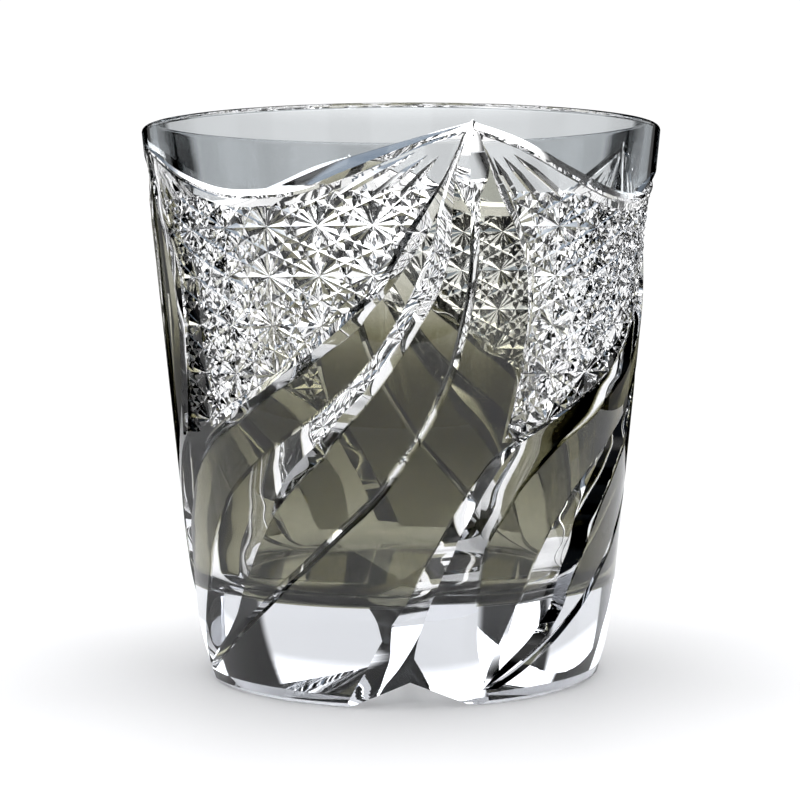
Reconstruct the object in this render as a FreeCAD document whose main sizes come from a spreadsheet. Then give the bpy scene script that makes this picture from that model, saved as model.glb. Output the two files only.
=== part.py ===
# Whiskey tumbler in cased cut crystal: millimetres, +Z up, origin at the middle of the underside.
#
# The glass is one gather of clear crystal cased with a thin skin of smoke grey glass. A wheel cuts
# through the skin into the crystal, so the smoke is left as islands: one collar round the rim and
# three panels in each quarter. The cut pattern repeats four times round the glass, and each quarter
# fans out from one point just under the rim, which is called its crest here.
import FreeCAD, Part
import math
import os

import Sketcher
from FreeCAD import Placement, Rotation, Vector

doc = FreeCAD.newDocument("tumbler")

# ---------------------------------------------------------------- driving sizes
SIZES = {
    "glass_height": 94.7,
    "rim_radius": 45.1,
    "foot_radius": 34.5,
    "waist_height": 8.0,  # the straight side starts here, above the rounded foot
    "waist_radius": 36.6,
    "waist_rounding": 60.0,
    "foot_rounding": 0.7,
    "lip_wall": 2.2,
    "lip_rounding": 0.9,
    "floor_height": 16.0,
    "floor_radius": 32.0,
    "floor_rounding": 5.0,
    "casing_bottom": 16.5,  # the smoke skin stops level with the inside floor
    "casing_at_rim": 0.35,
    "casing_at_bottom": 0.6,
    "repeats": 4,
    "crest_turn": 14.0,  # degrees from the front to the first crest
    "field_depth": 0.9,  # the star-cut field lies this far below the side
    "swag_width": 1.4,
    "swag_depth": 0.8,
    "mitre_height": 4.8,  # underside mitre at the outside
    "mitre_half_width": 12.5,
    "mitre_outside": 38.0,
    "mitre_start": 4.0,  # the underside mitre runs out at this radius
    "mitre_turn": 2.0,  # degrees from the front to the first mitre
}

sheet = doc.addObject("Spreadsheet::Sheet", "sizes")
for row, (alias, value) in enumerate(SIZES.items(), start=1):
    sheet.set(f"A{row}", alias)
    sheet.set(f"B{row}", str(value))
    sheet.setAlias(f"B{row}", alias)
doc.recompute()


def size(text):
    """The number that the sheet gives for an alias or a sum of aliases."""
    return float(sheet.evalExpression(text))


# ---------------------------------------------------------------- turned blank
def origin_plane(body, role):
    """The body's own plane or axis of this role, such as XZ_Plane."""
    return next(f for f in body.Origin.OriginFeatures if f.Role == role)


def profile_sketch(body, name, corners):
    """A closed outline in the body's XZ plane, whose corners are (radius, height) expressions."""
    sketch = body.newObject("Sketcher::SketchObject", name)
    sketch.AttachmentSupport = (origin_plane(body, "XZ_Plane"), [""])
    sketch.MapMode = "FlatFace"
    points = [Vector(size(radius), size(height), 0) for radius, height in corners]
    for start, end in zip(points, points[1:] + points[:1]):
        sketch.addGeometry(Part.LineSegment(start, end), False)
    for i, (radius, height) in enumerate(corners):
        following = (i + 1) % len(corners)
        sketch.addConstraint(Sketcher.Constraint("Coincident", i, 2, following, 1))
        for kind, value, text in (("X", points[i].x, radius), ("Y", points[i].y, height)):
            index = sketch.addConstraint(
                Sketcher.Constraint(f"Distance{kind}", -1, 1, i, 1, value)
            )
            sketch.setExpression(f"Constraints[{index}]", text)
    return sketch


def turned(body, kind, name, corners):
    """A Revolution or Groove of an outline round the body's Z axis."""
    sketch = profile_sketch(body, name + "_outline", corners)
    feature = body.newObject(f"PartDesign::{kind}", name)
    feature.Profile = sketch
    feature.ReferenceAxis = (origin_plane(body, "Z_Axis"), [""])
    feature.Angle = 360
    sketch.Visibility = False
    return feature


def ring_edges(shape, radius, height):
    """Names of the circular edges of this radius and height."""
    return [
        f"Edge{i}"
        for i, edge in enumerate(shape.Edges, start=1)
        if hasattr(edge.Curve, "Radius")
        and abs(edge.Curve.Radius - radius) < 0.01
        and abs(edge.Curve.Center.z - height) < 0.01
    ]


def rounded(body, name, base, rings, radius):
    """A fillet of the named size along the base feature's circles, each (radius, height)."""
    edges = [e for ring in rings for e in ring_edges(base.Shape, size(ring[0]), size(ring[1]))]
    fillet = body.newObject("PartDesign::Fillet", name)
    fillet.Base = (base, edges)
    fillet.setExpression("Radius", radius)
    doc.recompute()
    return fillet


blank = doc.addObject("PartDesign::Body", "blank")
side = turned(
    blank,
    "Revolution",
    "side",
    [
        ("sizes.foot_radius * 0", "sizes.glass_height * 0"),
        ("sizes.foot_radius", "sizes.glass_height * 0"),
        ("sizes.waist_radius", "sizes.waist_height"),
        ("sizes.rim_radius", "sizes.glass_height"),
        ("sizes.foot_radius * 0", "sizes.glass_height"),
    ],
)
bowl = turned(
    blank,
    "Groove",
    "bowl",
    [
        ("sizes.foot_radius * 0", "sizes.floor_height"),
        ("sizes.floor_radius", "sizes.floor_height"),
        ("sizes.rim_radius - sizes.lip_wall", "sizes.glass_height"),
        ("sizes.foot_radius * 0", "sizes.glass_height"),
    ],
)
doc.recompute()
floor_edge = rounded(
    blank, "floor_edge", bowl, [("sizes.floor_radius", "sizes.floor_height")], "sizes.floor_rounding"
)
lip = rounded(
    blank,
    "lip",
    floor_edge,
    [
        ("sizes.rim_radius", "sizes.glass_height"),
        ("sizes.rim_radius - sizes.lip_wall", "sizes.glass_height"),
    ],
    "sizes.lip_rounding",
)
waist = rounded(
    blank, "waist", lip, [("sizes.waist_radius", "sizes.waist_height")], "sizes.waist_rounding"
)
foot_edge = rounded(
    blank, "foot_edge", waist, [("sizes.foot_radius", "sizes.glass_height * 0")], "sizes.foot_rounding"
)

# The smoke skin is what lies outside this cone. Each of its radii is the side's less the casing.
SIDE_SLOPE = "(sizes.rim_radius - sizes.waist_radius) / (sizes.glass_height - sizes.waist_height)"
core = doc.addObject("Part::Cone", "core")
core.setExpression(
    "Radius1",
    f"sizes.waist_radius + {SIDE_SLOPE} * (sizes.casing_bottom - sizes.waist_height)"
    " - sizes.casing_at_bottom",
)
core.setExpression("Radius2", "sizes.rim_radius - sizes.casing_at_rim")
core.setExpression("Height", "sizes.glass_height - sizes.casing_bottom")
core.setExpression("Placement.Base.z", "sizes.casing_bottom")

upper = doc.addObject("Part::Cylinder", "upper")
upper.setExpression("Radius", "2 * sizes.rim_radius")
upper.setExpression("Height", "sizes.glass_height")
upper.setExpression("Placement.Base.z", "sizes.casing_bottom")

cased_zone = doc.addObject("Part::Cut", "cased_zone")
cased_zone.Base = upper
cased_zone.Tool = core
casing = doc.addObject("Part::Common", "casing")
casing.Base = blank
casing.Tool = cased_zone
doc.recompute()

# ---------------------------------------------------------------- cut pattern
# Every groove is a row of wheel marks: height, then degrees round the glass from the crest of its
# own quarter to the left edge, the bottom line and the right edge, then depth below the side.
CREST = [
    (92.3, -0.5, 0.0, 0.5, 0.5),
    (90.0, -2.0, 0.0, 2.0, 0.9),
    (87.0, -3.4, 0.0, 3.4, 1.0),
    (84.0, -4.5, 0.0, 4.0, 0.8),
    (82.0, -3.0, 0.0, 3.0, 0.3),
]
FIELD_EDGE_GROOVE = [
    (88.8, 1.8, 2.0, 2.4, 0.25),
    (85.7, 3.5, 4.1, 5.5, 0.5),
    (81.2, 6.0, 7.2, 10.0, 0.9),
    (75.4, 10.2, 11.3, 13.8, 1.1),
    (70.6, 12.7, 13.9, 16.0, 1.1),
    (66.4, 13.6, 15.0, 16.3, 1.1),
    (61.0, 13.9, 14.7, 16.2, 1.1),
    (56.0, 12.9, 13.7, 15.6, 1.1),
    (52.6, 11.7, 12.5, 15.2, 1.1),
    (49.5, 10.8, 11.6, 14.3, 1.1),
    (46.5, 10.0, 10.7, 13.3, 1.0),
    (42.5, 8.9, 9.2, 11.2, 0.8),
]
UPPER_SWEEP = [
    (91.0, -1.2, -0.9, -0.7, 0.2),
    (84.0, -6.0, -4.6, -3.9, 0.8),
    (79.0, -11.0, -8.4, -6.4, 1.1),
    (74.7, -15.7, -12.0, -8.9, 1.3),
    (70.0, -19.0, -15.6, -13.0, 1.3),
    (66.0, -24.0, -18.8, -17.0, 1.3),
    (63.0, -29.0, -24.0, -20.7, 1.3),
    (60.0, -34.0, -29.0, -24.0, 1.4),
    (55.2, -41.5, -38.5, -33.2, 1.4),
    (52.4, -49.0, -45.0, -38.4, 1.4),
    (50.4, -54.0, -49.5, -43.5, 1.4),
    (48.0, -63.0, -56.8, -48.8, 1.5),
    (45.6, -71.0, -64.0, -53.8, 1.6),
    (42.4, -78.8, -73.0, -62.8, 1.7),
    (39.6, -84.0, -77.8, -68.2, 1.8),
    (34.8, -89.2, -83.0, -75.4, 1.8),
    (31.2, -92.4, -86.0, -78.8, 1.8),
    (27.2, -95.6, -89.6, -82.8, 1.9),
    (24.8, -97.8, -91.3, -83.8, 2.0),
    (22.0, -99.9, -93.2, -84.6, 2.5),
    (17.6, -103.0, -96.1, -85.3, 3.0),
    (13.6, -107.0, -98.4, -85.6, 3.4),
    (10.0, -110.3, -100.2, -85.3, 3.7),
    (6.4, -113.4, -101.2, -84.0, 4.0),
    (3.0, -116.8, -102.0, -82.2, 4.2),
    (-1.0, -120.5, -102.5, -79.5, 4.4),
]
LOWER_SWEEP = [
    (91.0, -0.6, -0.4, -0.2, 0.2),
    (84.0, -4.6, -3.7, -3.0, 0.7),
    (79.0, -6.4, -5.4, -3.6, 0.9),
    (75.4, -7.3, -6.6, -3.8, 1.0),
    (71.2, -9.0, -8.0, -4.2, 1.1),
    (66.8, -11.5, -9.8, -5.9, 1.2),
    (63.3, -14.0, -11.2, -8.1, 1.2),
    (60.2, -16.5, -13.2, -10.7, 1.2),
    (57.0, -19.6, -15.6, -13.3, 1.2),
    (53.3, -24.0, -19.8, -16.7, 1.2),
    (50.0, -29.2, -23.5, -20.2, 1.3),
    (47.2, -34.0, -28.0, -23.4, 1.3),
    (44.8, -39.0, -31.0, -26.6, 1.4),
    (42.6, -44.0, -34.2, -29.4, 1.5),
    (40.0, -49.0, -39.0, -32.0, 1.6),
    (37.4, -54.0, -43.2, -36.6, 1.7),
    (33.8, -60.0, -47.4, -41.8, 1.9),
    (31.0, -63.0, -49.8, -45.6, 2.0),
    (28.0, -66.5, -51.8, -48.6, 2.1),
    (24.4, -70.0, -55.0, -52.0, 2.1),
    (21.2, -72.0, -57.6, -54.8, 2.1),
    (18.0, -74.0, -59.6, -57.6, 2.0),
    (14.4, -76.5, -62.0, -60.2, 1.9),
    (10.0, -79.5, -68.4, -66.0, 1.6),
    (6.0, -81.9, -77.0, -74.6, 0.9),
    (3.0, -82.6, -82.2, -81.8, 0.2),
]
SWEEP_LINE = [  # height and the line's own bearing; its width and depth are the same all along
    (90.0, 0.3),
    (85.0, 0.6),
    (80.0, 1.0),
    (75.0, 1.1),
    (70.0, 1.0),
    (65.0, 0.4),
    (60.0, -1.0),
    (55.0, -2.8),
    (50.0, -5.5),
    (45.0, -9.0),
    (39.8, -14.0),
    (35.0, -19.0),
    (31.4, -24.0),
    (28.4, -29.0),
    (25.2, -34.0),
    (22.2, -39.0),
    (19.6, -44.0),
    (16.6, -49.0),
    (14.0, -54.0),
    (11.6, -59.0),
    (9.2, -64.0),
    (7.0, -69.0),
    (5.0, -74.0),
    (3.3, -79.0),
    (2.6, -81.4),
]
LINE_HALF_WIDTH = 0.65  # millimetres, measured across the line
LINE_DEPTH = 0.85
# The swag droops from crest to crest: degrees from its lowest point, height of its upper edge.
SWAG = [(0.0, 82.2), (10.0, 82.8), (22.5, 85.7), (35.0, 89.6), (44.6, 91.8)]
PROUD = 2.5  # how far a cutter stands outside the side
QUARTER = 360.0 / size("repeats")


def side_radius(height):
    """Radius of the straight side, carried on below the waist as the rounded foot's."""
    slope = size("(rim_radius - waist_radius) / (glass_height - waist_height)")
    foot_slope = size("(waist_radius - foot_radius) / waist_height")
    rise = height - size("waist_height")
    return size("waist_radius") + rise * (slope if rise > 0 else foot_slope)


def place(radius, bearing, height):
    """A point at this bearing in degrees, counted rightwards from the front."""
    turn = math.radians(bearing)
    return Vector(radius * math.sin(turn), -radius * math.cos(turn), height)


def vee(height, left, bottom, right, depth):
    """One wheel mark: a level section whose two flanks run out past the side."""
    side_at = side_radius(height)
    low = place(side_at - depth, bottom, height)
    flanks = [low + (place(side_at, edge, height) - low) * 1.4 for edge in (left, right)]
    crown = place(side_at + PROUD, bottom, height)
    return Part.makePolygon([low, flanks[1], crown, flanks[0], low])


def swept(sections):
    """A closed cutter carried straight from each section to the next."""
    cutter = Part.makeLoft(sections, True, True)
    if not cutter.isValid() or cutter.Volume <= 0:
        raise RuntimeError("a cutter is not a sound solid")
    return cutter


def line_marks():
    """The thin line's rows, as wide across the line wherever it slopes."""
    rows = []
    for i, (height, bearing) in enumerate(SWEEP_LINE):
        before, after = SWEEP_LINE[max(i - 1, 0)], SWEEP_LINE[min(i + 1, len(SWEEP_LINE) - 1)]
        per_degree = math.radians(side_radius(height))
        run = (after[1] - before[1]) * per_degree
        slant = math.hypot(run, after[0] - before[0]) / abs(after[0] - before[0])
        half = LINE_HALF_WIDTH * slant / per_degree
        rows.append((height, bearing - half, bearing, bearing + half, LINE_DEPTH))
    return rows


def between(rows, column, height):
    """A groove's bearing at a height, straight between its marks."""
    ordered = sorted(rows)
    for below, above in zip(ordered, ordered[1:]):
        if below[0] <= height <= above[0]:
            share = (height - below[0]) / (above[0] - below[0])
            return below[column] + share * (above[column] - below[column])
    return ordered[0][column] if height < ordered[0][0] else ordered[-1][column]


def inside_groove(rows, edge, height):
    """A bearing just over half way from a groove's edge to its bottom line."""
    outside, bottom = between(rows, edge, height), between(rows, 2, height)
    return outside + 0.55 * (bottom - outside)


def swag_foot_bearing(height):
    """Degrees from the swag's lowest point to where its groove is at this height, near its foot."""
    edge = [(top - 0.8 * size("swag_width"), away) for away, top in SWAG]
    return between(edge, 1, height)


def field_section(height, left, right):
    """A level slice of the sunk field, a piece of ring between two bearings."""
    inner = side_radius(height) - size("field_depth")
    outer = side_radius(height) + PROUD
    middle = (left + right) / 2
    low = [place(inner, bearing, height) for bearing in (left, middle, right)]
    high = [place(outer, bearing, height) for bearing in (left, middle, right)]
    return Part.Wire(
        [
            Part.Arc(*low).toShape(),
            Part.makeLine(low[2], high[2]),
            Part.Arc(*reversed(high)).toShape(),
            Part.makeLine(high[0], low[0]),
        ]
    )


def field_cutters():
    """The sunk field under the swag: its body and the two horns that climb to the crests."""
    trough = QUARTER / 2
    main = [43.6, 46.5, 49.5, 52.6, 56.0, 61.0, 66.4, 70.6, 75.4, 80.9]
    horns = [80.9, 82.6, 84.3, 86.3, 88.2]

    def left_edge(height):
        return inside_groove(FIELD_EDGE_GROOVE, 3, height)

    def right_edge(height):
        return inside_groove(UPPER_SWEEP, 1, height) + QUARTER

    return [
        swept([field_section(z, left_edge(z), right_edge(z)) for z in main]),
        swept([field_section(z, left_edge(z), trough - swag_foot_bearing(z)) for z in horns]),
        swept([field_section(z, trough + swag_foot_bearing(z), right_edge(z)) for z in horns]),
    ]


def swag_cutter():
    """The bright line from crest to crest, cut with the wheel's axis along the glass."""
    width, depth = size("swag_width"), size("swag_depth")
    away = [-degrees for degrees, _ in reversed(SWAG[1:])] + [degrees for degrees, _ in SWAG]
    sections = []
    for degrees in away:
        top = dict(SWAG)[abs(degrees)]
        bearing = QUARTER / 2 + degrees
        middle = top - width / 2
        low = place(side_radius(middle) - depth, bearing, middle)
        edges = [place(side_radius(z), bearing, z) for z in (top - width, top)]
        flanks = [low + (edge - low) * 1.4 for edge in edges]
        crown = place(side_radius(middle) + PROUD, bearing, middle)
        sections.append(Part.makePolygon([low, flanks[1], crown, flanks[0], low]))
    return swept(sections)


def mitre_cutter():
    """The wedge ground across the underside, deepest at the outside."""
    sections = []
    for radius in (size("mitre_outside"), size("mitre_start")):
        share = (radius - size("mitre_start") * 0.9) / size("mitre_outside")
        rise, half = size("mitre_height") * share, size("mitre_half_width") * share
        corners = [Vector(-half * 1.2, -radius, -rise * 0.2), Vector(0, -radius, rise)]
        corners += [Vector(half * 1.2, -radius, -rise * 0.2)]
        sections.append(Part.makePolygon(corners + corners[:1]))
    cutter = Part.makeLoft(sections, True, True)
    cutter.rotate(Vector(), Vector(0, 0, 1), size("mitre_turn"))
    return cutter


def round_the_glass(shape, turn):
    """Copies of one quarter's cutter, turned into each quarter."""
    copies = []
    for quarter in range(int(size("repeats"))):
        copy = shape.copy()
        copy.rotate(Vector(), Vector(0, 0, 1), turn + quarter * QUARTER)
        copies.append(copy)
    return copies


quarter_cutters = [
    swept([vee(*mark) for mark in CREST]),
    swept([vee(*mark) for mark in UPPER_SWEEP]),
    swept([vee(*mark) for mark in LOWER_SWEEP]),
    swept([vee(*mark) for mark in line_marks()]),
    swept([vee(*mark) for mark in FIELD_EDGE_GROOVE]),
    swag_cutter(),
    *field_cutters(),
]


def cut(shape, tools):
    """The shape less each cutter in all four quarters, one cutter at a time."""
    for tool, turn in tools:
        shape = shape.cut(round_the_glass(tool, turn))
    return shape


pattern = [(cutter, size("crest_turn")) for cutter in quarter_cutters]
crystal = cut(blank.Shape.cut(casing.Shape), pattern + [(mitre_cutter(), 0)])
smoke = cut(casing.Shape, pattern)
crumb = 1.0  # cubic millimetres: what is smaller is a crumb between two cuts and falls off
islands = [solid for solid in smoke.Solids if solid.Volume > crumb]


# ---------------------------------------------------------------- sub-parts
def bearing_of(shape):
    """Degrees from the first crest, rightwards, to the middle of the shape."""
    middle = shape.CenterOfMass
    return (math.degrees(math.atan2(middle.x, -middle.y)) - size("crest_turn")) % 360.0


def sub_part(label, shape):
    """A named piece of the glass in the document, at the glass's own place."""
    piece = doc.addObject("Part::Feature", label)
    piece.Label = label
    piece.Shape = shape
    piece.Placement = Placement(Vector(), Rotation())
    return piece


pieces = [sub_part("crystal_body", crystal)]
collar = max(islands, key=lambda solid: solid.BoundBox.ZMax)
pieces.append(sub_part("smoke_rim_collar", collar))
panels = [solid for solid in islands if not solid.isSame(collar)]
if len(panels) != 3 * int(size("repeats")):
    raise RuntimeError(f"{len(panels)} smoke panels, not three a quarter")
# Each quarter's panels by volume: the widest lies under the crest, the slimmest between the sweeps.
by_volume = sorted(panels, key=lambda solid: -solid.Volume)
for rank, width in enumerate(("wide", "mid", "narrow")):
    start = rank * int(size("repeats"))
    ring = sorted(by_volume[start : start + int(size("repeats"))], key=bearing_of)
    for number, solid in enumerate(ring, start=1):
        pieces.append(sub_part(f"smoke_{width}_panel_{number}", solid))
doc.recompute()

for thing in doc.Objects:
    if {"Invalid", "Error"} & set(thing.State):
        raise RuntimeError(f"{thing.Label} failed")
for piece in pieces:
    if piece.Shape.isNull() or not piece.Shape.isValid() or len(piece.Shape.Solids) != 1:
        raise RuntimeError(f"{piece.Label} is not one sound solid")

os.makedirs("parts", exist_ok=True)
for piece in pieces:
    piece.Shape.exportStep(f"parts/{piece.Label}.step")
    box = piece.Shape.BoundBox
    print(f"{piece.Label}: {piece.Shape.Volume:.1f} mm3, z {box.ZMin:.2f} to {box.ZMax:.2f}")
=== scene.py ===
import math

import bpy
import numpy as np
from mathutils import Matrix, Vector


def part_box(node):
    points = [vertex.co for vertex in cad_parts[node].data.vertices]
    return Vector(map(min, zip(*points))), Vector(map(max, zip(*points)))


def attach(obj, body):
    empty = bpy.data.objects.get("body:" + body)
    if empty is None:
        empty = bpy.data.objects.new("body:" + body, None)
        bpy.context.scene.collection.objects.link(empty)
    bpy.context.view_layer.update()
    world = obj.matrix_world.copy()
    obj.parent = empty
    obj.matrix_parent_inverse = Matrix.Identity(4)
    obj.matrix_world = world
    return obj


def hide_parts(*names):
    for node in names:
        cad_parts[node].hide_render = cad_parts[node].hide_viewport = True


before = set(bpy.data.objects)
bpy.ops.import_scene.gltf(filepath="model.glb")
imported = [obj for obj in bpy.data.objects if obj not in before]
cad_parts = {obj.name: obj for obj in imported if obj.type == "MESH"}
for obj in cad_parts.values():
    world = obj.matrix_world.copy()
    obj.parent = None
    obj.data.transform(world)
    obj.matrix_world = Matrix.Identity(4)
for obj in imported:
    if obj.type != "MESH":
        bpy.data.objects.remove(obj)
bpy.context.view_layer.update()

# ---------------------------------------------------------------------------------------------
# The stand and the eye: a small pale studio table in soft white light, looked at from a little
# above the middle of the glass. The eye tips down by a few degrees and leans by a quarter of one.
TABLE_HALF = 0.3
TABLE_GREY = (0.88, 0.88, 0.89)
TABLE_ROUGHNESS = 0.6
EYE_PLACE = (-0.00029, -0.3176, 0.0653)
EYE_DOWN, EYE_LEAN = 3.25, 0.23

eye = bpy.data.cameras.new("eye")
eye.lens = 81.0
eye.sensor_width = 36.0
eye.clip_start = 0.01
camera = bpy.data.objects.new("eye", eye)
bpy.context.scene.collection.objects.link(camera)
camera.location = EYE_PLACE
camera.rotation_euler = (math.radians(90 - EYE_DOWN), math.radians(EYE_LEAN), 0)
bpy.context.scene.camera = camera
bpy.context.scene.view_settings.view_transform = "Standard"


def new_piece(name, points, faces):
    """An object from points in metres and faces of three or four corners."""
    mesh = bpy.data.meshes.new(name)
    mesh.from_pydata(np.asarray(points, float).tolist(), [], np.asarray(faces).tolist())
    piece = bpy.data.objects.new(name, mesh)
    bpy.context.scene.collection.objects.link(piece)
    return piece


def new_shader(name):
    """A new node material with its nodes, its link call and its output node."""
    material = bpy.data.materials.new(name)
    material.use_nodes = True
    nodes = material.node_tree.nodes
    nodes.clear()
    return material, nodes, material.node_tree.links.new, nodes.new("ShaderNodeOutputMaterial")


table_corners = [(-TABLE_HALF, -TABLE_HALF), (TABLE_HALF, -TABLE_HALF)]
table_corners += [(TABLE_HALF, TABLE_HALF), (-TABLE_HALF, TABLE_HALF)]
table = new_piece("table_top", [(x, y, 0.0) for x, y in table_corners], [(0, 1, 2, 3)])
pale, nodes, link, out = new_shader("pale_table")
matt = nodes.new("ShaderNodeBsdfPrincipled")
matt.inputs["Base Color"].default_value = (*TABLE_GREY, 1)
matt.inputs["Roughness"].default_value = TABLE_ROUGHNESS
link(matt.outputs["BSDF"], out.inputs["Surface"])
table.data.materials.append(pale)

# The backdrop is plain white to the eye. What the glass mirrors and bends is a ring of eight
# bright panels with dark flags between them, a dark band above the ring, and a bright ceiling:
# cut glass shows its edges only where it meets something dark. A polarising filter takes most of
# the glare off the polished faces, so the mirrored light is dimmed and the bent light is not.
PANELS = 8.0
FLAG_GREY = 0.0
BACKDROP_WHITE = 1.05
POLARISER = 0.8
FLAG_EDGE = (-0.4, -0.15)
CEILING_EDGE = (0.65, 0.8)
SKY = [  # how high, as the sine of the angle above level, and the light from there
    (0.00, (1.05, 1.05, 1.05)),
    (0.08, (1.05, 1.05, 1.05)),
    (0.14, (2.9, 2.9, 2.9)),
    (0.30, (2.9, 2.9, 2.9)),
    (0.36, (0.30, 0.36, 0.44)),
    (0.50, (0.22, 0.28, 0.36)),
    (0.58, (0.0, 0.0, 0.0)),
    (0.84, (0.0, 0.0, 0.0)),
    (0.90, (4.5, 4.5, 4.5)),
]
studio = bpy.data.worlds.new("studio")
bpy.context.scene.world = studio
studio.use_nodes = True
nodes, link = studio.node_tree.nodes, studio.node_tree.links.new
nodes.clear()


def maths(operation, *inputs):
    """A Math node of this operation, fed with sockets or numbers."""
    node = nodes.new("ShaderNodeMath")
    node.operation = operation
    for slot, value in zip(node.inputs, inputs):
        if isinstance(value, (int, float)):
            slot.default_value = value
        else:
            link(value, slot)
    return node.outputs[0]


ray = nodes.new("ShaderNodeTexCoord")
split = nodes.new("ShaderNodeSeparateXYZ")
link(ray.outputs["Generated"], split.inputs[0])
turn = maths("ARCTAN2", split.outputs["X"], split.outputs["Y"])
facing = maths("COSINE", maths("MULTIPLY", turn, PANELS))  # 1 at a bright panel, -1 at a flag


def faded(value, dark, bright):
    """A smooth step from 0 where the value is dark to 1 where it is bright."""
    step = nodes.new("ShaderNodeMapRange")
    step.interpolation_type = "SMOOTHSTEP"
    link(value, step.inputs["Value"])
    step.inputs["From Min"].default_value = dark
    step.inputs["From Max"].default_value = bright
    return step.outputs["Result"]


ramp = nodes.new("ShaderNodeValToRGB")
link(split.outputs["Z"], ramp.inputs["Fac"])
stops = ramp.color_ramp.elements
for number, (level, colour) in enumerate(SKY):  # a new ramp has two stops already
    stop = stops[number] if number < 2 else stops.new(level)
    stop.position = level
    stop.color = (*colour, 1)
open_sky = maths("MAXIMUM", faded(facing, *FLAG_EDGE), faded(split.outputs["Z"], *CEILING_EDGE))
light_path = nodes.new("ShaderNodeLightPath")
masked = nodes.new("ShaderNodeMix")
masked.data_type = "RGBA"
link(open_sky, masked.inputs["Factor"])
masked.inputs["A"].default_value = (FLAG_GREY, FLAG_GREY, FLAG_GREY, 1)
link(ramp.outputs["Color"], masked.inputs["B"])
shown = nodes.new("ShaderNodeMix")
shown.data_type = "RGBA"
link(light_path.outputs["Is Camera Ray"], shown.inputs["Factor"])
link(masked.outputs["Result"], shown.inputs["A"])
shown.inputs["B"].default_value = (BACKDROP_WHITE, BACKDROP_WHITE, BACKDROP_WHITE, 1)
backdrop = nodes.new("ShaderNodeBackground")
link(shown.outputs["Result"], backdrop.inputs["Color"])
mirrored = light_path.outputs["Is Reflection Ray"]
glare = maths("MULTIPLY", mirrored, light_path.outputs["Is Glossy Ray"])
link(maths("SUBTRACT", 1.0, maths("MULTIPLY", glare, POLARISER)), backdrop.inputs["Strength"])
link(backdrop.outputs["Background"], nodes.new("ShaderNodeOutputWorld").inputs["Surface"])

softbox = bpy.data.lights.new("softbox", "AREA")
softbox.shape = "DISK"
softbox.size = 1.0
softbox.energy = 2.0
overhead = bpy.data.objects.new("softbox", softbox)
overhead.location = (0.0, 0.1, 1.3)
bpy.context.scene.collection.objects.link(overhead)

# ---------------------------------------------------------------------------------------------
# The crystal body: clear glass blown and turned to a round blank with a thick base. The smoke
# casing lies in a shallow bed all round it, and every wheel cut goes through into the crystal.
# Sizes are in millimetres.
MM = 0.001
RIM_RADIUS = 45.09  # a hair inside the CAD part's 45.1, so that no rounding passes it
HEIGHT = 94.7
WAIST_RADIUS, WAIST_HEIGHT = 36.6, 8.0
FOOT_RADIUS, FOOT_TOP, FOOT_BEVEL = 34.5, 14.0, 0.7
LIP_WALL, LIP_ROUND = 2.2, 0.9
FLOOR_HEIGHT, FLOOR_RADIUS, FLOOR_ROUND = 16.0, 32.0, 5.0
FOOT_STEPS, SIDE_STEPS, LIP_STEPS, FLOOR_STEPS = 14, 9, 8, 12
BED_FLOOR = 16.5
BED_REACH, BED_ROOM = 60, 2
CASING = [  # height, thickness
    (16.5, 0.25),
    (28.0, 0.27),
    (38.0, 0.37),
    (46.0, 0.41),
    (54.0, 0.27),
    (62.0, 0.11),
    (72.0, 0.07),
    (80.0, 0.12),
    (94.7, 0.12),
]
CASING_RINGS = 20
AROUND = 320
SLOPE = (RIM_RADIUS - WAIST_RADIUS) / (HEIGHT - WAIST_HEIGHT)


def side_radius(height):
    """Radius of the side: a straight line in height, and below the foot's top that line less the
    square of the fall, which meets the line with its slope and the table at the foot's radius."""
    height = np.asarray(height, float)
    straight = WAIST_RADIUS + (height - WAIST_HEIGHT) * SLOPE
    fall = np.clip(FOOT_TOP - height, 0, None)
    drop = WAIST_RADIUS - WAIST_HEIGHT * SLOPE - FOOT_RADIUS
    return straight - drop * (fall / FOOT_TOP) ** 2


cutting_tools = []


def as_tool(mesh):
    """An object of this mesh that only shapes the glass, and is taken away at the end."""
    tool = bpy.data.objects.new(mesh.name, mesh)
    bpy.context.scene.collection.objects.link(tool)
    cutting_tools.append(tool)
    return tool


def arc_of(centre, radius, start, stop, steps):
    """Points of an arc in the radius and height plane, angles in degrees from outwards: the
    centre plus the radius times the angle's cosine outwards and its sine upwards."""
    turn = np.radians(np.linspace(start, stop, steps))
    return np.stack([centre[0] + radius * np.cos(turn), centre[1] + radius * np.sin(turn)], 1)


def turned(name, profile):
    """A closed solid of revolution. The profile's points, radius and height, go from the axis at
    the bottom round to the axis at the top. Each is carried round in equal steps: x is the radius
    times the turn's sine, y is minus the radius times its cosine, and z is the height."""
    profile = np.asarray(profile, float)
    ring = profile[1:-1]
    turn = np.radians(np.arange(AROUND) * 360.0 / AROUND)
    sin, cos = np.sin(turn)[:, None], np.cos(turn)[:, None]
    body = np.stack([ring[:, 0] * sin, -ring[:, 0] * cos, ring[:, 1] + 0 * sin], -1)
    low, high = (0, 0, profile[0, 1]), (0, 0, profile[-1, 1])
    points = np.vstack([body.reshape(-1, 3), low, high]) * MM
    rows = len(ring)
    i, j = np.meshgrid(np.arange(AROUND), np.arange(rows - 1), indexing="ij")
    near, far = i * rows + j, (i + 1) % AROUND * rows + j
    quads = np.stack([near, far, far + 1, near + 1], -1).reshape(-1, 4)
    spin = np.arange(AROUND) * rows
    following = np.roll(spin, -1)
    bottom = len(points) - 2
    base = np.stack([np.full(AROUND, bottom), following, spin], -1)
    roof = np.stack([np.full(AROUND, bottom + 1), spin + rows - 1, following + rows - 1], -1)
    mesh = bpy.data.meshes.new(name)
    mesh.from_pydata(points.tolist(), [], quads.tolist() + base.tolist() + roof.tolist())
    return as_tool(mesh)


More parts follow.
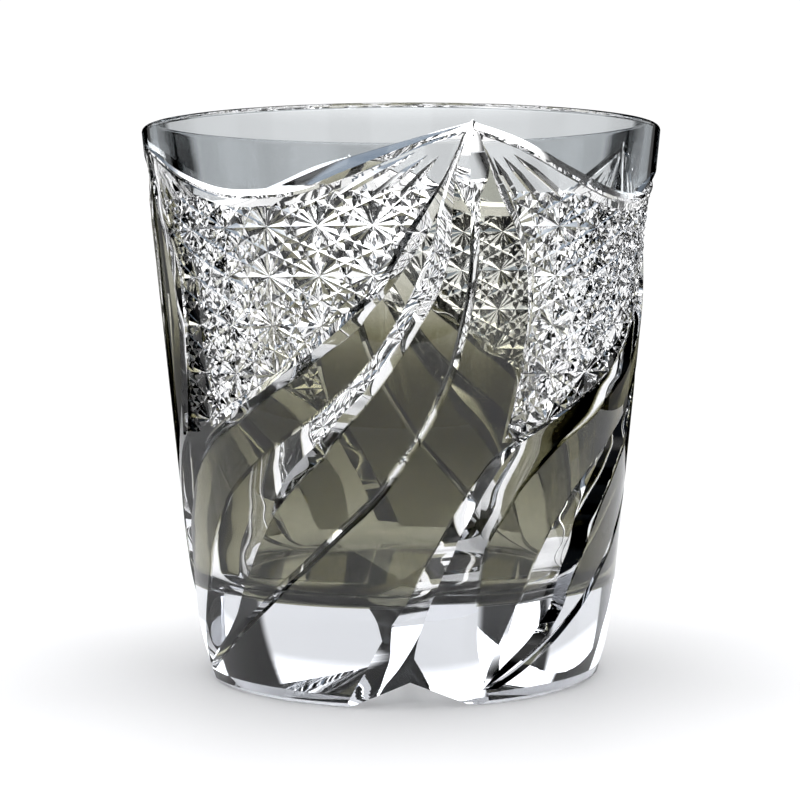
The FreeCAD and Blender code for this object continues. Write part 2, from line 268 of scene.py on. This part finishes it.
def glass_profile():
    """The blank's outline: underside, foot bevel, side, rounded lip, bowl wall and rounded floor."""
    lip_foot = HEIGHT - LIP_ROUND
    foot = np.linspace(FOOT_BEVEL, FOOT_TOP, FOOT_STEPS)
    side = np.append(foot, np.linspace(FOOT_TOP, lip_foot, SIDE_STEPS)[1:])
    outer = np.stack([side_radius(side), side], 1)
    lip_out = arc_of((side_radius(lip_foot) - LIP_ROUND, lip_foot), LIP_ROUND, 0, 90, LIP_STEPS)
    lip_in = arc_of((RIM_RADIUS - LIP_WALL + LIP_ROUND, lip_foot), LIP_ROUND, 90, 180, LIP_STEPS)
    wall_slope = (RIM_RADIUS - LIP_WALL - FLOOR_RADIUS) / (HEIGHT - FLOOR_HEIGHT)
    lean = math.degrees(math.atan(wall_slope))
    inset = FLOOR_ROUND * math.tan(math.radians(45 - lean / 2))
    bend = (FLOOR_RADIUS - inset, FLOOR_HEIGHT + FLOOR_ROUND)
    floor = arc_of(bend, FLOOR_ROUND, -lean, -90, FLOOR_STEPS)
    start = [(0, 0), (FOOT_RADIUS - FOOT_BEVEL, 0)]
    return np.vstack([start, outer, lip_out[1:], lip_in, floor, [(0, FLOOR_HEIGHT)]])


def flowing(rows, count=160):
    """The rows carried on a smooth curve: a cubic through each row whose slope there is the
    chord between the rows before and after it, read at equal steps."""
    rows = np.asarray(rows, float)
    chord = np.gradient(rows, axis=0)
    where = np.linspace(0, len(rows) - 1, count)
    k = np.clip(where.astype(int), 0, len(rows) - 2)
    f = (where - k)[:, None]
    a, b, da, db = rows[k], rows[k + 1], chord[k], chord[k + 1]
    hermite = (2 * f**3 - 3 * f**2 + 1) * a + (f**3 - 2 * f**2 + f) * da
    return hermite + (3 * f**2 - 2 * f**3) * b + (f**3 - f**2) * db


def bed_radius(height):
    """Radius of the bed under the casing: the side's, less the casing's thickness there."""
    level, thick = flowing(CASING, CASING_RINGS).T
    return np.interp(height, level, side_radius(level) - thick)


def bed_profile(gap):
    """The outside of the bed that the casing lies in, this gap larger all over, with plenty of
    room below and above it."""
    level = flowing(CASING, CASING_RINGS)[:, 0]
    wall = np.stack([bed_radius(level) + gap, level], 1)
    wall[0, 1] += gap
    below = [(0, -BED_ROOM), (BED_REACH, -BED_ROOM), (BED_REACH, BED_FLOOR + gap)]
    above = [(wall[-1, 0], HEIGHT + BED_ROOM), (0, HEIGHT + BED_ROOM)]
    return np.vstack([below, wall, above])


# The two glasses are fused without a gap. Here the casing keeps a hair's distance from the
# crystal, so that each has a surface of its own, and polished() below marks both as the joint.
FUSED_GAP = 0.012
blank = turned("blank", glass_profile())
bed = turned("bed", bed_profile(0.0))
casing_bed = turned("casing_bed", bed_profile(FUSED_GAP))

# The cutting wheel's marks. Each groove is a row of marks: height, then degrees round the glass
# from the crest of its own quarter to its left edge, bottom line and right edge, then its depth.
# The thin line is as wide and deep all along, so its marks are only height and bearing. The swag
# has degrees from the middle of the quarter and the height of its upper edge, and the fan has
# the bearing and height at which each ray ends.
CREST_TURN, QUARTERS = 14.0, 4
QUARTER = 360 / QUARTERS
UPPER_SWEEP = [
    (91.0, -1.2, -0.9, -0.7, 0.2),
    (84.0, -6.0, -4.6, -3.9, 1.1),
    (79.0, -11.0, -8.4, -6.4, 1.5),
    (74.7, -15.7, -12.0, -8.9, 1.8),
    (70.0, -19.0, -15.6, -13.0, 1.8),
    (66.0, -24.0, -18.8, -17.0, 1.8),
    (63.0, -29.0, -24.0, -20.7, 1.8),
    (60.0, -34.0, -29.0, -24.0, 2.0),
    (55.2, -41.5, -38.5, -33.2, 2.0),
    (52.4, -49.0, -45.0, -38.4, 2.0),
    (50.4, -54.0, -49.5, -43.5, 2.0),
    (48.0, -63.0, -56.8, -48.8, 2.1),
    (45.6, -71.0, -64.0, -53.8, 2.2),
    (42.4, -78.8, -73.0, -62.8, 2.4),
    (39.6, -84.0, -77.8, -68.2, 2.5),
    (34.8, -89.2, -83.0, -75.4, 2.5),
    (31.2, -92.4, -86.0, -78.8, 2.5),
    (27.2, -95.6, -89.6, -82.8, 2.7),
    (24.8, -97.8, -91.3, -83.8, 2.0),
    (22.0, -99.9, -93.2, -84.6, 2.5),
    (17.6, -103.0, -96.1, -85.3, 3.0),
    (13.6, -107.0, -98.4, -85.6, 3.4),
    (10.0, -110.3, -100.2, -85.3, 3.7),
    (6.4, -113.4, -101.2, -84.0, 4.0),
    (3.0, -116.8, -102.0, -82.2, 4.2),
    (-1.0, -120.5, -102.5, -79.5, 4.4),
]
LOWER_SWEEP = [
    (91.0, -0.6, -0.4, -0.2, 0.2),
    (84.0, -4.6, -3.7, -3.0, 1.0),
    (79.0, -6.4, -5.4, -3.6, 1.3),
    (75.4, -7.3, -6.6, -3.8, 1.4),
    (71.2, -9.0, -8.0, -4.2, 1.5),
    (66.8, -11.5, -9.8, -5.9, 1.7),
    (63.3, -14.0, -11.2, -8.1, 1.7),
    (60.2, -16.5, -13.2, -10.7, 1.7),
    (57.0, -19.6, -15.6, -13.3, 1.7),
    (53.3, -24.0, -19.8, -16.7, 1.7),
    (50.0, -29.2, -23.5, -20.2, 1.8),
    (47.2, -34.0, -28.0, -23.4, 1.8),
    (44.8, -39.0, -31.0, -26.6, 2.0),
    (42.6, -44.0, -34.2, -29.4, 2.1),
    (40.0, -49.0, -39.0, -32.0, 2.2),
    (37.4, -54.0, -43.2, -36.6, 2.4),
    (33.8, -60.0, -47.4, -41.8, 2.7),
    (31.0, -63.0, -49.8, -45.6, 2.8),
    (28.0, -66.5, -51.8, -48.6, 2.9),
    (24.4, -70.0, -55.0, -52.0, 2.1),
    (21.2, -72.0, -57.6, -54.8, 2.1),
    (18.0, -74.0, -59.6, -57.6, 2.0),
    (14.4, -76.5, -62.0, -60.2, 1.9),
    (10.0, -79.5, -68.4, -66.0, 1.6),
    (6.0, -81.9, -77.0, -74.6, 0.9),
    (3.0, -82.6, -82.2, -81.8, 0.2),
]
FIELD_EDGE = [
    (88.8, 1.8, 2.0, 2.4, 0.25),
    (85.7, 3.5, 4.1, 5.5, 0.5),
    (81.2, 6.0, 7.2, 10.0, 0.9),
    (75.4, 10.2, 11.3, 13.8, 1.1),
    (70.6, 12.7, 13.9, 16.0, 1.1),
    (66.4, 13.6, 15.0, 16.3, 1.1),
    (61.0, 13.9, 14.7, 16.2, 1.1),
    (56.0, 12.9, 13.7, 15.6, 1.1),
    (52.6, 11.7, 12.5, 15.2, 1.1),
    (49.5, 10.8, 11.6, 14.3, 1.1),
    (46.5, 10.0, 10.7, 13.3, 1.0),
    (42.5, 8.9, 9.2, 11.2, 0.8),
]
THIN_LINE = [
    (90.0, 0.3),
    (85.0, 0.6),
    (80.0, 1.0),
    (75.0, 1.1),
    (70.0, 1.0),
    (65.0, 0.4),
    (60.0, -1.0),
    (55.0, -2.8),
    (50.0, -5.5),
    (45.0, -9.0),
    (39.8, -14.0),
    (35.0, -19.0),
    (31.4, -24.0),
    (28.4, -29.0),
    (25.2, -34.0),
    (22.2, -39.0),
    (19.6, -44.0),
    (16.6, -49.0),
    (14.0, -54.0),
    (11.6, -59.0),
    (9.2, -64.0),
    (7.0, -69.0),
    (5.0, -74.0),
    (3.3, -79.0),
    (2.6, -81.4),
]
LINE_HALF, LINE_DEPTH = 0.78, 0.49
SWAG = [(0.0, 82.2), (10.0, 82.8), (22.5, 85.7), (35.0, 89.6), (44.6, 91.8)]
SWAG_WIDTH, SWAG_DEPTH = 1.9, 0.35
CREST = [
    (92.2, -0.1, 0.0, 0.1, 0.02),
    (91.4, -0.9, 0.0, 0.9, 0.25),
    (90.0, -2.0, 0.0, 2.0, 0.5),
    (87.0, -3.4, 0.0, 3.4, 0.8),
    (84.0, -4.0, 0.0, 3.6, 0.7),
    (81.0, -2.4, 0.0, 2.2, 0.35),
    (78.5, -0.4, 0.0, 0.4, 0.02),
]
FAN = [
    (-33.0, 82.6),
    (-27.0, 81.0),
    (-21.0, 80.0),
    (-15.5, 79.6),
    (11.5, 79.6),
    (16.5, 80.0),
    (22.0, 81.0),
]
FAN_HALF, FAN_DEPTH = 1.6, 1.25
FAN_TOP, FAN_RADIUS = 91.8, 44
FAN_START, FAN_GROWTH, FAN_STEPS = 0.04, 1.6, 16
MITRE_TURN = 2.0
MITRE_START, MITRE_END, MITRE_APEX = 4.0, 38.0, 3.6
MITRE_RISE, MITRE_HALF, MITRE_OVERRUN = 4.8, 12.5, 0.2
PROUD = 2.5
FLANK_RUN = 1.4


def place(radius, bearing, height):
    """Points in millimetres at these bearings, in degrees rightwards from the front: x is the
    radius times the bearing's sine, y is minus the radius times its cosine, z is the height."""
    turn = np.radians(bearing)
    return np.stack([radius * np.sin(turn), -radius * np.cos(turn), height + 0 * turn], -1)


def strands(name, sections):
    """Closed solids, one for each row of equal closed sections, with flat ends: the array counts
    strands, sections along a strand, corners round a section, and x, y, z."""
    lines, count, sides = sections.shape[:3]
    n, i, j = np.meshgrid(np.arange(lines), np.arange(count - 1), np.arange(sides), indexing="ij")
    here, after = n * count * sides + i * sides, (j + 1) % sides
    quads = np.stack([here + j, here + after, here + sides + after, here + sides + j], -1)
    start = np.arange(lines)[:, None] * count * sides
    low = start + np.arange(sides)[::-1]
    high = start + (count - 1) * sides + np.arange(sides)
    faces = quads.reshape(-1, 4).tolist() + low.tolist() + high.tolist()
    mesh = bpy.data.meshes.new(name)
    mesh.from_pydata((sections.reshape(-1, 3) * MM).tolist(), [], faces)
    return outward(mesh)


def tube(name, sections):
    """A closed solid through an array of equal closed sections, with flat ends."""
    return strands(name, sections[None])


def array_of(collection, key, width, kind=float):
    """A collection's values as an array with this many columns."""
    values = np.empty(len(collection) * width, kind)
    collection.foreach_get(key, values)
    return values.reshape(-1, width) if width > 1 else values


def volume_of(mesh):
    """A closed mesh's volume: a sixth of the sum of its triangles' triple products. It is below
    zero where the faces point inwards."""
    mesh.calc_loop_triangles()
    triangles = array_of(mesh.loop_triangles, "vertices", 3, np.int32)
    a, b, c = array_of(mesh.vertices, "co", 3)[triangles].transpose(1, 0, 2)
    return np.einsum("ij,ij->i", a, np.cross(b, c)).sum() / 6


def outward(mesh):
    """The mesh with its faces turned outwards."""
    if volume_of(mesh) < 0:
        mesh.flip_normals()
    return mesh


def groove(name, marks):
    """A wheel cut: level vee sections along the flowing marks. Each runs from the bottom, the
    depth in from the side, through its two edges on the side to a little outside the glass."""
    height, left, bottom, right, depth = flowing(marks).T
    side = side_radius(height)
    low = place(side - depth, bottom, height)
    flank_left = low + (place(side, left, height) - low) * FLANK_RUN
    flank_right = low + (place(side, right, height) - low) * FLANK_RUN
    crown = place(side + PROUD, bottom, height)
    return tube(name, np.stack([low, flank_right, crown, flank_left], 1))


def thin_marks():
    """The thin line as groove marks. Its level half width is the half width across the line
    times the line's length over its rise, so it is as wide wherever it slopes."""
    height, bearing = np.asarray(THIN_LINE).T
    degree = np.radians(side_radius(height))
    slant = np.hypot(np.gradient(bearing) * degree, np.gradient(height)) / np.abs(np.gradient(height))
    half = LINE_HALF * slant / degree
    depth = np.full(len(height), LINE_DEPTH)
    return np.stack([height, bearing - half, bearing, bearing + half, depth], 1)


def fan_marks(bearing, foot):
    """A thin ray's marks, on a straight line from the crest down to this bearing and height. It
    widens and deepens evenly over the first part of its run, and then stays as it is."""
    share = np.linspace(FAN_START, 1, FAN_STEPS)
    growth = np.minimum(share * FAN_GROWTH, 1)
    height = FAN_TOP + (foot - FAN_TOP) * share
    slant = math.hypot(math.radians(bearing) * FAN_RADIUS, FAN_TOP - foot) / (FAN_TOP - foot)
    half = np.degrees(FAN_HALF * growth * slant / side_radius(height))
    middle = bearing * share
    return np.stack([height, middle - half, middle, middle + half, FAN_DEPTH * growth], 1)


def swag():
    """The bright line from crest to crest: upright vee sections carried round the glass, half
    way down each the bottom line, and its flanks through the upper and lower edge."""
    away = np.array([-a for a, _ in SWAG[:0:-1]] + [a for a, _ in SWAG])
    top = np.array([h for _, h in SWAG[:0:-1]] + [h for _, h in SWAG])
    away, top = flowing(np.stack([away, top], 1)).T
    bearing, middle = QUARTER / 2 + away, top - SWAG_WIDTH / 2
    low = place(side_radius(middle) - SWAG_DEPTH, bearing, middle)
    foot = place(side_radius(top - SWAG_WIDTH), bearing, top - SWAG_WIDTH)
    head = place(side_radius(top), bearing, top)
    crown = place(side_radius(middle) + PROUD, bearing, middle)
    sections = [low, low + (head - low) * FLANK_RUN, crown, low + (foot - low) * FLANK_RUN]
    return tube("swag", np.stack(sections, 1))


def mitre():
    """The wedge ground into the underside: two three-cornered sections, one near the middle and
    one outside the foot, whose rise and width grow evenly with the way out from the apex."""
    reach = np.array([MITRE_END, MITRE_START])
    share = (reach - MITRE_APEX) / MITRE_END
    rise, half = MITRE_RISE * share, MITRE_HALF * share
    down = -MITRE_OVERRUN * rise
    left = np.stack([-half * (1 + MITRE_OVERRUN), -reach, down], -1)
    top = np.stack([0 * half, -reach, rise], -1)
    right = np.stack([half * (1 + MITRE_OVERRUN), -reach, down], -1)
    return tube("mitre", np.stack([left, top, right], 1))


def in_quarters(name, meshes, turn):
    """One object of all the meshes, copied into each quarter of the glass: their corners turned
    about the upright axis, by the turn and by none to three quarters of a circle."""
    points, faces, start = [], [], 0
    for mesh in meshes:
        corners = array_of(mesh.vertices, "co", 3)
        for quarter in range(QUARTERS):
            angle = math.radians(turn + quarter * 360 / QUARTERS)
            cos, sin = math.cos(angle), math.sin(angle)
            points.append(corners @ np.array([[cos, -sin, 0], [sin, cos, 0], [0, 0, 1]]).T)
            faces += [[start + v for v in polygon.vertices] for polygon in mesh.polygons]
            start += len(mesh.vertices)
    mesh = bpy.data.meshes.new(name)
    mesh.from_pydata(np.vstack(points).tolist(), [], faces)
    return as_tool(mesh)


# The field under each swag is sunk a little and cut all over with stars: eight families of fine
# vee lines run through every knot of a square net, so each knot has sixteen rays. A smooth strip
# is left under the swag, and above STAR_TOP, where the thin rays of the fan come down.
FIELD_FOOT, FIELD_TOP, FIELD_DEPTH = 43.2, 90.0, 0.8
FIELD_OVERLAP, FIELD_START = 0.55, 0.8
BLOCK_DEPTH = 4.0
KNOT_WIDTH, KNOT_RISE = 12.0, 7.73
FIRST_KNOT = (22.0, 76.4)
STAR_LINES = [(1, 0), (0, 1), (1, 1), (1, -1), (2, 1), (2, -1), (1, 2), (1, -2)]
STAR_DEPTH, STAR_FLANK, STAR_BACK = 0.45, 0.7, 1.4
STAR_REACH, STAR_STEPS = (8.0, 96.0), 18
STAR_BLOCK, STAR_TOP, SMOOTH_STRIP = 3.0, 81.6, 0.9


def star_lines(a, b):
    """One family of the star cutting's vee lines, each running a knots across for b knots up.
    A line passes through every point where b u - a v is a whole number, u and v being knots
    across and up; its sections stand square to it, with flanks of an even slope."""
    across = math.radians(KNOT_WIDTH) * side_radius(FIRST_KNOT[1])
    low_u, high_u = (np.array(STAR_REACH) - FIRST_KNOT[0]) / KNOT_WIDTH
    low_v, high_v = (np.array([FIELD_FOOT - 1, FIELD_TOP + 1]) - FIRST_KNOT[1]) / KNOT_RISE
    reach = [b * u - a * v for u in (low_u, high_u) for v in (low_v, high_v)]
    number = np.arange(math.ceil(min(reach)), math.floor(max(reach)) + 1)[:, None]
    square = a * a + b * b
    along = [(a * u + b * v) / square for u in (low_u, high_u) for v in (low_v, high_v)]
    t = np.linspace(min(along), max(along), STAR_STEPS)[None, :]
    u, v = number * b / square + a * t, b * t - number * a / square
    bearing = FIRST_KNOT[0] + u * KNOT_WIDTH
    height = FIRST_KNOT[1] + v * KNOT_RISE
    run = math.hypot(a * across, b * KNOT_RISE)
    half = STAR_DEPTH / STAR_FLANK * STAR_BACK
    turn = half * -b * KNOT_RISE / run / across * KNOT_WIDTH
    rise = half * a * across / run
    field = side_radius(height) - FIELD_DEPTH
    lift = STAR_DEPTH * (STAR_BACK - 1)
    low = place(field - STAR_DEPTH, bearing, height)
    left = place(field + lift, bearing + turn, height + rise)
    right = place(field + lift, bearing - turn, height - rise)
    return strands(f"stars_{a}_{b}", np.stack([low, right, left], 2))


def at_height(rows, column, height):
    """A groove's column read at these heights along its smooth run."""
    run = flowing(rows, 400)
    order = np.argsort(run[:, 0])
    return np.interp(height, run[order, 0], run[order, column])


def inside(rows, edge, height):
    """A bearing just over half way from a groove's edge to its bottom line."""
    outside, bottom = at_height(rows, edge, height), at_height(rows, 2, height)
    return outside + FIELD_OVERLAP * (bottom - outside)


def under_swag(name, below, ceiling=HEIGHT):
    """A thick block under one swag, carried round the glass. Its top is this far below the swag's
    upper edge, or level at the ceiling where that is lower."""
    bearing = np.linspace(0, QUARTER, 91)
    away, edge = flowing(np.array(SWAG), 200).T
    top = np.minimum(np.interp(np.abs(bearing - QUARTER / 2), away, edge) - below, ceiling)
    foot = np.full(len(bearing), FIELD_FOOT - 2)
    corners = [(foot, -BLOCK_DEPTH), (foot, PROUD + 1), (top, PROUD + 1), (top, -BLOCK_DEPTH)]
    return tube(name, np.stack([place(side_radius(z) + out, bearing, z) for z, out in corners], 1))


def field_block(name, heights, left, right, depth, steps=19):
    """A block between two bearings at each height, from this depth to outside the side: level
    sections, each the inner row of points followed by the outer row backwards."""
    share = np.linspace(0, 1, steps)
    bearing = left[:, None] + (right - left)[:, None] * share
    z = np.repeat(heights[:, None], steps, 1)
    inner = place(side_radius(z) - depth, bearing, z)
    outer = place(side_radius(z) + PROUD, bearing, z)
    return tube(name, np.concatenate([inner, outer[:, ::-1]], 1))


def carved(solid, steps):
    """The solid's mesh after these boolean steps, each an operation and a tool object."""
    for operation, tool in steps:
        modifier = solid.modifiers.new(operation.lower(), "BOOLEAN")
        modifier.solver = "MANIFOLD"
        modifier.operation = operation
        modifier.object = tool
    graph = bpy.context.evaluated_depsgraph_get()
    mesh = bpy.data.meshes.new_from_object(solid.evaluated_get(graph))
    solid.modifiers.clear()
    return mesh


field_rows = np.linspace(FIELD_FOOT, FIELD_TOP, 30)
field_sides = inside(FIELD_EDGE, 3, field_rows), inside(UPPER_SWEEP, 1, field_rows) + QUARTER
whole_field = as_tool(field_block("whole_field", field_rows, *field_sides, FIELD_DEPTH))
star_bounds = as_tool(field_block("star_bounds", field_rows, *field_sides, STAR_BLOCK))
below_swag = as_tool(under_swag("below_swag", FIELD_START * SWAG_WIDTH))
below_strip = as_tool(under_swag("below_strip", SWAG_WIDTH + SMOOTH_STRIP, STAR_TOP))
field_mesh = carved(whole_field, [("INTERSECT", below_swag)])
families = [as_tool(star_lines(a, b)) for a, b in STAR_LINES]
star_steps = [("UNION", family) for family in families[1:]]
star_steps += [("INTERSECT", star_bounds), ("INTERSECT", below_strip)]
star_mesh = carved(families[0], star_steps)
fan = [groove("fan", fan_marks(bearing, foot)) for bearing, foot in FAN]

# The order of cutting. Neighbouring rays of the fan overlap near the crest, and one tool must
# not overlap itself, so every second ray is cut first and the rays between them after that.
cuts = {
    "crest_cut": [groove("crest", CREST)],
    "upper_cut": [groove("upper", UPPER_SWEEP)],
    "lower_cut": [groove("lower", LOWER_SWEEP)],
    "edge_cut": [groove("edge", FIELD_EDGE)],
    "line_cut": [groove("line", thin_marks())],
    "swag_cut": [swag()],
    "field_cut": [field_mesh],
    "star_cut": [star_mesh],
    "fan_cut": fan[::2],
    "fan_between_cut": fan[1::2],
}
wheel = [("DIFFERENCE", in_quarters(name, own, CREST_TURN)) for name, own in cuts.items()]
wheel.append(("DIFFERENCE", in_quarters("mitre_cut", [mitre()], MITRE_TURN)))
crystal_mesh = carved(blank, [("INTERSECT", bed)] + wheel)
smoke_mesh = carved(blank, [("DIFFERENCE", casing_bed)] + wheel)

# How near the side, the bed or its step a corner has to be, in millimetres, to belong to it, and
# how nearly a face has to look outwards or upwards.
SIDE_NEAR, STEP_NEAR, END_NEAR = 0.004, 0.002, 0.01
LOOKS_OUT, LOOKS_UP = 0.97, 0.99
SLOPE_STEP = 0.05
SHARP_ANGLE = 11


def polished(mesh):
    """Smooth shading over each surface and sharp edges between cuts. Where a face lies on the
    turned side, its corners take the turned shape's own normals: outwards, less the side's slope
    upwards. Faces of the joint between crystal and casing are marked, because light goes straight
    through them."""
    mesh.set_sharp_from_angle(angle=math.radians(SHARP_ANGLE))
    points = array_of(mesh.vertices, "co", 3) / MM
    corners = array_of(mesh.loops, "vertex_index", 1, np.int32)
    normals = array_of(mesh.corner_normals, "vector", 3)
    starts = array_of(mesh.polygons, "loop_start", 1, np.int32)
    totals = array_of(mesh.polygons, "loop_total", 1, np.int32)
    flat = array_of(mesh.polygons, "normal", 3)
    radius, height = np.hypot(points[:, 0], points[:, 1]), points[:, 2]
    above = height > BED_FLOOR - END_NEAR
    outside_bed = radius - bed_radius(height)
    on_joint = (outside_bed > -SIDE_NEAR) & (outside_bed < FUSED_GAP + SIDE_NEAR) & above
    step = height - BED_FLOOR
    on_step = (step > -STEP_NEAR) & (step < FUSED_GAP + STEP_NEAR) & (outside_bed > -END_NEAR)
    on_side = np.abs(radius - side_radius(height)) < SIDE_NEAR
    on_side &= (height > FOOT_BEVEL - END_NEAR) & (height < HEIGHT - LIP_ROUND + END_NEAR)

    def whole(mask):
        """The faces all of whose corners are in the mask."""
        return np.minimum.reduceat(mask[corners].astype(np.int8), starts) == 1

    outward_way = np.stack([points[:, 0], points[:, 1]], 1) / np.maximum(radius, 1e-6)[:, None]
    middle = outward_way[corners[starts]]
    facing = np.abs((flat[:, :2] * middle).sum(1))
    joint = whole(on_joint) & (facing > LOOKS_OUT)
    joint |= whole(on_step) & (np.abs(flat[:, 2]) > LOOKS_UP)
    mark = mesh.attributes.new("joint", "FLOAT", "FACE")
    mark.data.foreach_set("value", joint.astype(np.float32))
    side = whole(on_side) & ((flat[:, :2] * middle).sum(1) > LOOKS_OUT)
    rise = side_radius(height + SLOPE_STEP) - side_radius(height - SLOPE_STEP)
    slope = rise / (2 * SLOPE_STEP)
    true_side = np.column_stack([outward_way, -slope])
    true_side /= np.linalg.norm(true_side, axis=1)[:, None]
    on_corner = np.repeat(side, totals)
    normals[on_corner] = true_side[corners[on_corner]]
    mesh.normals_split_custom_set(normals.tolist())
    return mesh


def glass(name, ior):
    """Polished glass that lets light straight through where it is fused to another glass."""
    material, nodes, link, out = new_shader(name)
    clear = nodes.new("ShaderNodeBsdfPrincipled")
    clear.inputs["Base Color"].default_value = (1.0, 1.0, 1.0, 1)
    clear.inputs["Roughness"].default_value = 0.0
    clear.inputs["IOR"].default_value = ior
    clear.inputs["Transmission Weight"].default_value = 1.0
    fused = nodes.new("ShaderNodeBsdfTransparent")
    joint = nodes.new("ShaderNodeAttribute")
    joint.attribute_name = "joint"
    mix = nodes.new("ShaderNodeMixShader")
    link(joint.outputs["Fac"], mix.inputs["Fac"])
    link(clear.outputs["BSDF"], mix.inputs[1])
    link(fused.outputs["BSDF"], mix.inputs[2])
    link(mix.outputs["Shader"], out.inputs["Surface"])
    return material, nodes, link, out


def tinted(material_parts, colour, density):
    """Adds even absorption to a glass: what passes falls off with the depth of glass."""
    material, nodes, link, out = material_parts
    absorb = nodes.new("ShaderNodeVolumeAbsorption")
    absorb.inputs["Color"].default_value = (*colour, 1)
    absorb.inputs["Density"].default_value = density
    link(absorb.outputs["Volume"], out.inputs["Volume"])
    return material


def finished(name, mesh, material):
    """A finished piece of the glass under its node's name, riding on the glass itself."""
    mesh.name = name
    piece = bpy.data.objects.new(name, mesh)
    bpy.context.scene.collection.objects.link(piece)
    mesh.materials.clear()
    mesh.materials.append(material)
    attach(piece, "root")
    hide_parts(name.removesuffix("_glass"))
    return piece


CRYSTAL_IOR = 1.545
CRYSTAL_TINT = ((0.0, 0.08, 0.24), 5.0)
crystal_glass = tinted(glass("clear_crystal", CRYSTAL_IOR), *CRYSTAL_TINT)
finished("crystal_body_glass", polished(crystal_mesh), crystal_glass)

# ---------------------------------------------------------------------------------------------
# The smoke casing: grey glass with a touch of olive, picked up on the blank while it was hot.
# The cuts leave it as a collar round the rim and three panels in each quarter.
# A piece of less than CRUMB cubic millimetres is dust of the cutting and is swept away.
SMOKE_IOR = 1.53
COLLAR_SMOKE = ((0.24, 0.30, 0.34), 4700.0)
PANEL_SMOKE = ((0.25, 0.23, 0.03), 6700.0)
CRUMB = 1.0
collar_glass = tinted(glass("collar_smoke", SMOKE_IOR), *COLLAR_SMOKE)
panel_glass = tinted(glass("panel_smoke", SMOKE_IOR), *PANEL_SMOKE)


def islands(mesh):
    """The mesh's separate shells as meshes of their own, without any crumbs of the cutting. Each
    corner takes the lowest number among its neighbours until nothing changes, so a shell is the
    corners of one number."""
    pairs = array_of(mesh.edges, "vertices", 2, np.int32)
    label = np.arange(len(mesh.vertices))
    while True:
        low = np.minimum(label[pairs[:, 0]], label[pairs[:, 1]])
        new = label.copy()
        np.minimum.at(new, pairs[:, 0], low)
        np.minimum.at(new, pairs[:, 1], low)
        new = new[new]
        if (new == label).all():
            break
        label = new
    points = array_of(mesh.vertices, "co", 3)
    polygons = [list(p.vertices) for p in mesh.polygons]
    owner = label[[p[0] for p in polygons]]
    found = []
    for shell in np.unique(label):
        own = np.flatnonzero(label == shell)
        renumber = {int(v): i for i, v in enumerate(own)}
        faces = [[renumber[v] for v in polygons[f]] for f in np.flatnonzero(owner == shell)]
        piece = bpy.data.meshes.new("island")
        piece.from_pydata(points[own].tolist(), [], faces)
        if volume_of(piece) / MM**3 > CRUMB:
            found.append(piece)
    return found


def mismatch(mesh, node):
    """How far the corners of a mesh's box lie from those of a CAD node's box: the sum of the six
    differences, in metres."""
    points = array_of(mesh.vertices, "co", 3)
    low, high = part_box(node)
    below, above = np.abs(points.min(0) - np.array(low)), np.abs(points.max(0) - np.array(high))
    return below.sum() + above.sum()


smoke_nodes = {"smoke_rim_collar": collar_glass}
for width in ("wide", "mid", "narrow"):
    smoke_nodes.update({f"smoke_{width}_panel_{number}": panel_glass for number in range(1, 5)})
found = islands(smoke_mesh)
for node, material in smoke_nodes.items():
    mesh = min(found, key=lambda island: mismatch(island, node))
    found.remove(mesh)
    finished(f"{node}_glass", polished(mesh), material)

for tool in cutting_tools:
    bpy.data.objects.remove(tool)
